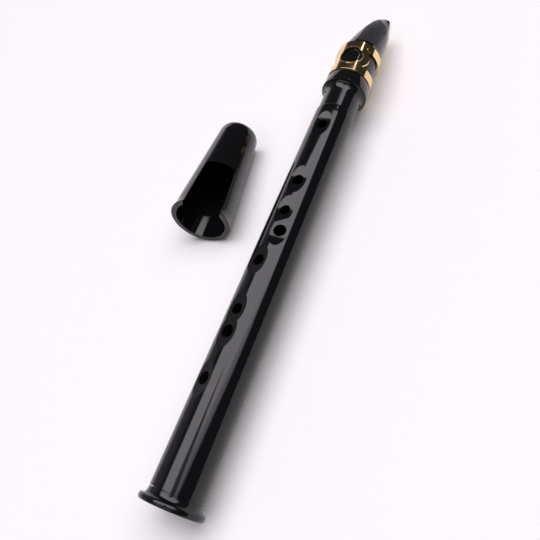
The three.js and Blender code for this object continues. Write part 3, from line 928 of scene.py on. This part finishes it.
class Finish:
    """A material's node tree, with short calls for what the finishes share."""

    def __init__(self, name, color, roughness, metallic=0.0):
        self.material = bpy.data.materials.new(name)
        self.material.use_nodes = True
        self.nodes = self.material.node_tree.nodes
        self.links = self.material.node_tree.links
        self.shader = self.nodes["Principled BSDF"]
        self.shader.inputs["Base Color"].default_value = (*color, 1)
        self.shader.inputs["Roughness"].default_value = roughness
        self.shader.inputs["Metallic"].default_value = metallic
        self.place = self.nodes.new("ShaderNodeTexCoord").outputs["Object"]

    def noise(self, size_mm, stretch=(1, 1, 1), detail=3.0):
        """Noise between 0 and 1 whose blobs are about that size."""
        mapping = self.nodes.new("ShaderNodeMapping")
        mapping.inputs["Scale"].default_value = [1 / (size_mm * MM) / s for s in stretch]
        noise = self.nodes.new("ShaderNodeTexNoise")
        noise.inputs["Scale"].default_value = 1.0
        noise.inputs["Detail"].default_value = detail
        self.links.new(self.place, mapping.inputs["Vector"])
        self.links.new(mapping.outputs["Vector"], noise.inputs["Vector"])
        return noise.outputs["Fac"]

    def spread(self, value, low, high):
        """Maps noise, which stays mostly between 0.3 and 0.7, to a range of plain values."""
        scale = self.nodes.new("ShaderNodeMapRange")
        scale.inputs["From Min"].default_value = 0.3
        scale.inputs["From Max"].default_value = 0.7
        scale.inputs["To Min"].default_value = low
        scale.inputs["To Max"].default_value = high
        self.links.new(value, scale.inputs["Value"])
        return scale.outputs["Result"]

    def ramp(self, value, *stops):
        ramp = self.nodes.new("ShaderNodeValToRGB").color_ramp
        node = self.nodes[-1]
        ramp.elements[0].position, ramp.elements[0].color = stops[0][0], (*stops[0][1], 1)
        ramp.elements[1].position, ramp.elements[1].color = stops[-1][0], (*stops[-1][1], 1)
        for position, color in stops[1:-1]:
            ramp.elements.new(position).color = (*color, 1)
        self.links.new(value, node.inputs["Fac"])
        return node.outputs["Color"]

    def bump(self, height, depth_mm, under=None):
        bump = self.nodes.new("ShaderNodeBump")
        bump.inputs["Distance"].default_value = depth_mm * MM
        bump.inputs["Strength"].default_value = 1.0
        self.links.new(height, bump.inputs["Height"])
        if under is not None:
            self.links.new(under, bump.inputs["Normal"])
        return bump.outputs["Normal"]

    def soft_edges(self, radius_mm):
        bevel = self.nodes.new("ShaderNodeBevel")
        bevel.samples = 6
        bevel.inputs["Radius"].default_value = radius_mm * MM
        return bevel.outputs["Normal"]

    def set(self, socket, output):
        self.links.new(output, self.shader.inputs[socket])


def gloss_black(name, tint):
    """Polished black moulding: a faint waviness, a little haze and soft edges."""
    finish = Finish(name, tint, 0.07)
    finish.shader.inputs["IOR"].default_value = 1.45
    finish.set("Roughness", finish.spread(finish.noise(9.0), 0.05, 0.09))
    edges = finish.soft_edges(0.1)
    waves = finish.bump(finish.noise(14.0, detail=1.0), 0.02, edges)
    finish.set("Normal", finish.bump(finish.noise(0.7), 0.0006, waves))
    return finish.material


def matt_black(name):
    """The bite surface, left matt so that the teeth don't slip."""
    finish = Finish(name, (0.018, 0.018, 0.02), 0.5)
    finish.shader.inputs["Specular IOR Level"].default_value = 0.2
    grain = finish.noise(0.25, detail=2.0)
    finish.set("Roughness", finish.spread(grain, 0.45, 0.55))
    finish.set("Normal", finish.bump(grain, 0.004))
    return finish.material


def polished_gold(name):
    """Gold lacquer on brass, rolled and hand polished."""
    finish = Finish(name, (0.88, 0.64, 0.34), 0.08, 1.0)
    finish.set("Base Color", finish.ramp(
        finish.noise(6.0), (0.3, (0.84, 0.6, 0.3)), (0.7, (0.92, 0.69, 0.39))))
    finish.set("Roughness", finish.spread(finish.noise(3.0), 0.06, 0.11))
    edges = finish.soft_edges(0.07)
    finish.set("Normal", finish.bump(finish.noise(5.0, detail=1.0), 0.02, edges))
    return finish.material


def raw_cane(name):
    """Cut cane: straight fibres along the reed."""
    finish = Finish(name, (0.8, 0.66, 0.36), 0.55)
    fibres = finish.noise(0.35, (1, 40, 1), 4.0)
    finish.set("Base Color", finish.ramp(
        fibres, (0.25, (0.62, 0.45, 0.2)), (0.5, (0.8, 0.65, 0.34)), (0.75, (0.9, 0.78, 0.48))))
    finish.set("Normal", finish.bump(fibres, 0.03))
    return finish.material


def cane_bark(name):
    """The glossy rind of the cane, with a few darker streaks."""
    finish = Finish(name, (0.7, 0.5, 0.2), 0.32)
    streaks = finish.noise(1.2, (1, 14, 1), 3.0)
    finish.set("Base Color", finish.ramp(
        streaks, (0.3, (0.36, 0.2, 0.06)), (0.42, (0.62, 0.42, 0.14)), (0.7, (0.76, 0.57, 0.25))))
    finish.set("Roughness", finish.spread(streaks, 0.26, 0.4))
    finish.set("Normal", finish.bump(finish.noise(0.5, (1, 30, 1)), 0.02))
    return finish.material


def seal_rubber(name):
    """Matt rubber of the tenon rings."""
    finish = Finish(name, (0.02, 0.02, 0.02), 0.6)
    finish.set("Roughness", finish.spread(finish.noise(1.5), 0.5, 0.7))
    finish.set("Normal", finish.bump(finish.noise(0.3), 0.01))
    return finish.material


body_black = gloss_black("body black", (0.005, 0.005, 0.006))
head_black = gloss_black("mouthpiece black", (0.006, 0.006, 0.007))
bite_black = matt_black("bite surface black")
cap_black = gloss_black("cap black", (0.005, 0.005, 0.006))
gold = polished_gold("ligature gold")
cane = raw_cane("reed cane")
bark = cane_bark("reed bark")
rubber = seal_rubber("seal rubber")


# The object

def add_piece(name, mesh, place, body, node, slot, *materials):
    mesh.transform(place)
    mesh.name = name
    finishes = [face.material_index for face in mesh.polygons]
    mesh.materials.clear()
    for material in materials:
        mesh.materials.append(material)
    mesh.polygons.foreach_set("material_index", finishes)
    piece = bpy.data.objects.new(name, mesh)
    bpy.context.scene.collection.objects.link(piece)
    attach(piece, body)
    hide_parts(node)


add_piece("tube", body_tube(), HORN, "body", "body_tube", "body_plastic", body_black)
add_piece("bell", bell_ring(), HORN, "body", "bell_ring", "body_plastic", body_black)
add_piece("mouthpiece_head", mouthpiece(), HORN, "mouthpiece", "mouthpiece", "mouthpiece_plastic",
          head_black, bite_black)
for number, place in enumerate(RING_PLACES, 1):
    add_piece(f"seal_{number}", tenon_ring(place), HORN, "tenon_rings", f"tenon_ring_{number}",
              "seal_rubber", rubber)
add_piece("reed_cane", reed(), HORN, "reed", "reed", "reed_cane", cane, bark)
add_piece("band", ligature_band(), LIGATURE, "ligature", "ligature_band", "ligature_gold", gold)
for which, y in zip(("lower", "upper"), SCREW_PLACES):
    for end, side in (("threaded", 1), ("plain", -1)):
        add_piece(f"post_{which}_{end}", ligature_post(y, side), LIGATURE, "ligature",
                  f"{which}_post_{end}", "ligature_gold", gold)
    add_piece(f"screw_{which}", ligature_screw(y), LIGATURE, f"{which}_screw",
              f"{which}_screw", "ligature_gold", gold)
add_piece("cap", mouthpiece_cap(), CAP, "cap", "mouthpiece_cap", "cap_plastic", cap_black)


# Floor, light and camera

def stage_floor():
    half = FLOOR_HALF * MM
    corners = [(-half, -half, 0), (half, -half, 0), (half, half, 0), (-half, half, 0)]
    mesh = bpy.data.meshes.new("floor")
    mesh.from_pydata(corners, [], [(0, 1, 2, 3)])
    floor = bpy.data.objects.new("floor", mesh)
    bpy.context.scene.collection.objects.link(floor)
    floor.location.z = -FLOOR_DROP * MM
    mesh.materials.append(Finish("floor paper", FLOOR_COLOR, 0.7).material)


class Studio:
    """The world's node tree: soft boxes drawn on a flat ceiling, over a dim room."""

    def __init__(self):
        world = bpy.data.worlds.new("studio")
        bpy.context.scene.world = world
        world.use_nodes = True
        self.nodes = world.node_tree.nodes
        self.links = world.node_tree.links
        self.background = self.nodes["Background"]
        split = self.nodes.new("ShaderNodeSeparateXYZ")
        self.links.new(self.nodes.new("ShaderNodeTexCoord").outputs["Generated"], split.inputs[0])
        self.x, self.y, self.z = split.outputs
        height = self.math("MAXIMUM", self.z, 0.02)
        self.above = self.ease(self.z, 0.0, 0.04)
        self.across = self.math("DIVIDE", self.x, height)
        self.along = self.math("DIVIDE", self.y, height)

    def math(self, operation, *values):
        node = self.nodes.new("ShaderNodeMath")
        node.operation = operation
        for socket, value in zip(node.inputs, values):
            if isinstance(value, (int, float)):
                socket.default_value = value
            else:
                self.links.new(value, socket)
        return node.outputs[0]

    def ease(self, value, start, end, low=0.0, high=1.0):
        node = self.nodes.new("ShaderNodeMapRange")
        node.interpolation_type = "SMOOTHSTEP"
        for socket, number in zip(("From Min", "From Max", "To Min", "To Max"), (start, end, low, high)):
            node.inputs[socket].default_value = number
        self.links.new(value, node.inputs["Value"])
        return node.outputs["Result"]

    def left_of(self, a, b, soft):
        """1 at the left of a line on the ceiling, from a to b, and 0 at its right."""
        run, rise = b[0] - a[0], b[1] - a[1]
        length = math.hypot(run, rise)
        first = self.math("MULTIPLY", self.along, run / length)
        second = self.math("MULTIPLY_ADD", self.across, -rise / length, first)
        offset = (a[1] * run - a[0] * rise) / length
        return self.ease(second, offset - soft, offset + soft)

    def panel(self, corners, soft):
        """1 inside a convex outline on the ceiling, drawn anticlockwise, with a softness for each side."""
        inside = self.above
        for i, corner in enumerate(corners):
            edge = self.left_of(corner, corners[(i + 1) % len(corners)], soft[i % len(soft)])
            inside = self.math("MULTIPLY", inside, edge)
        return inside

    def finish(self, strength, color):
        self.background.inputs["Color"].default_value = (*color, 1)
        self.links.new(strength, self.background.inputs["Strength"])


def stage_world():
    studio = Studio()
    wedge = studio.ease(studio.panel(WEDGE, (WEDGE_SOFT,)), 0, 1, 1, WEDGE_SHARE)
    key = studio.math("MULTIPLY", studio.panel(KEY_PANEL, KEY_SOFT), wedge)
    near = studio.left_of(*KEY_FALL_LINE, KEY_FALL_SOFT)
    light = studio.math("MULTIPLY", key, studio.ease(near, 0, 1, KEY_RADIANCE * KEY_FALL, KEY_RADIANCE))
    light = studio.math("MULTIPLY_ADD", studio.panel(FILL_PANEL, (FILL_SOFT,)), FILL_RADIANCE, light)
    light = studio.math("MULTIPLY_ADD", studio.panel(SPOT_PANEL, (SPOT_SOFT,)), SPOT_RADIANCE, light)
    sweep = studio.ease(studio.z, *SWEEP_HEIGHT, SWEEP_RADIANCE, 0)
    sweep = studio.math("MULTIPLY", sweep, studio.ease(studio.x, *SWEEP_SIDE, 1, 0))
    sweep = studio.math("MULTIPLY", sweep, studio.ease(studio.y, *SWEEP_BACK))
    light = studio.math("ADD", light, sweep)
    left = studio.ease(studio.x, *ROOM_SIDE, ROOM_LEFT - ROOM_RADIANCE, 0)
    light = studio.math("ADD", light, studio.math("ADD", left, ROOM_RADIANCE))
    studio.finish(light, LIGHT_COLOR)


def stage_camera():
    """Placed by fitting the model to the photograph."""
    azimuth, fall, roll = (math.radians(a) for a in (CAMERA_AZIMUTH, CAMERA_FALL, CAMERA_ROLL))
    reach = math.cos(fall)
    ahead = Vector((math.sin(azimuth) * reach, math.cos(azimuth) * reach, -math.sin(fall)))
    level = Vector((math.cos(azimuth), -math.sin(azimuth), 0))
    upright = level.cross(ahead)
    right = level * math.cos(roll) + upright * math.sin(roll)
    up = -level * math.sin(roll) + upright * math.cos(roll)
    turn = Matrix((right, up, -ahead)).transposed().to_4x4()
    camera = bpy.data.cameras.new("camera")
    camera.lens = CAMERA_LENS
    camera.sensor_width = 36.0
    camera.clip_start, camera.clip_end = 0.01, 20
    holder = bpy.data.objects.new("camera", camera)
    holder.matrix_world = Matrix.Translation(Vector(CAMERA_PLACE) * MM) @ turn
    bpy.context.scene.collection.objects.link(holder)
    bpy.context.scene.camera = holder


stage_floor()
stage_world()
stage_camera()
bpy.context.scene.view_settings.view_transform = "Standard"
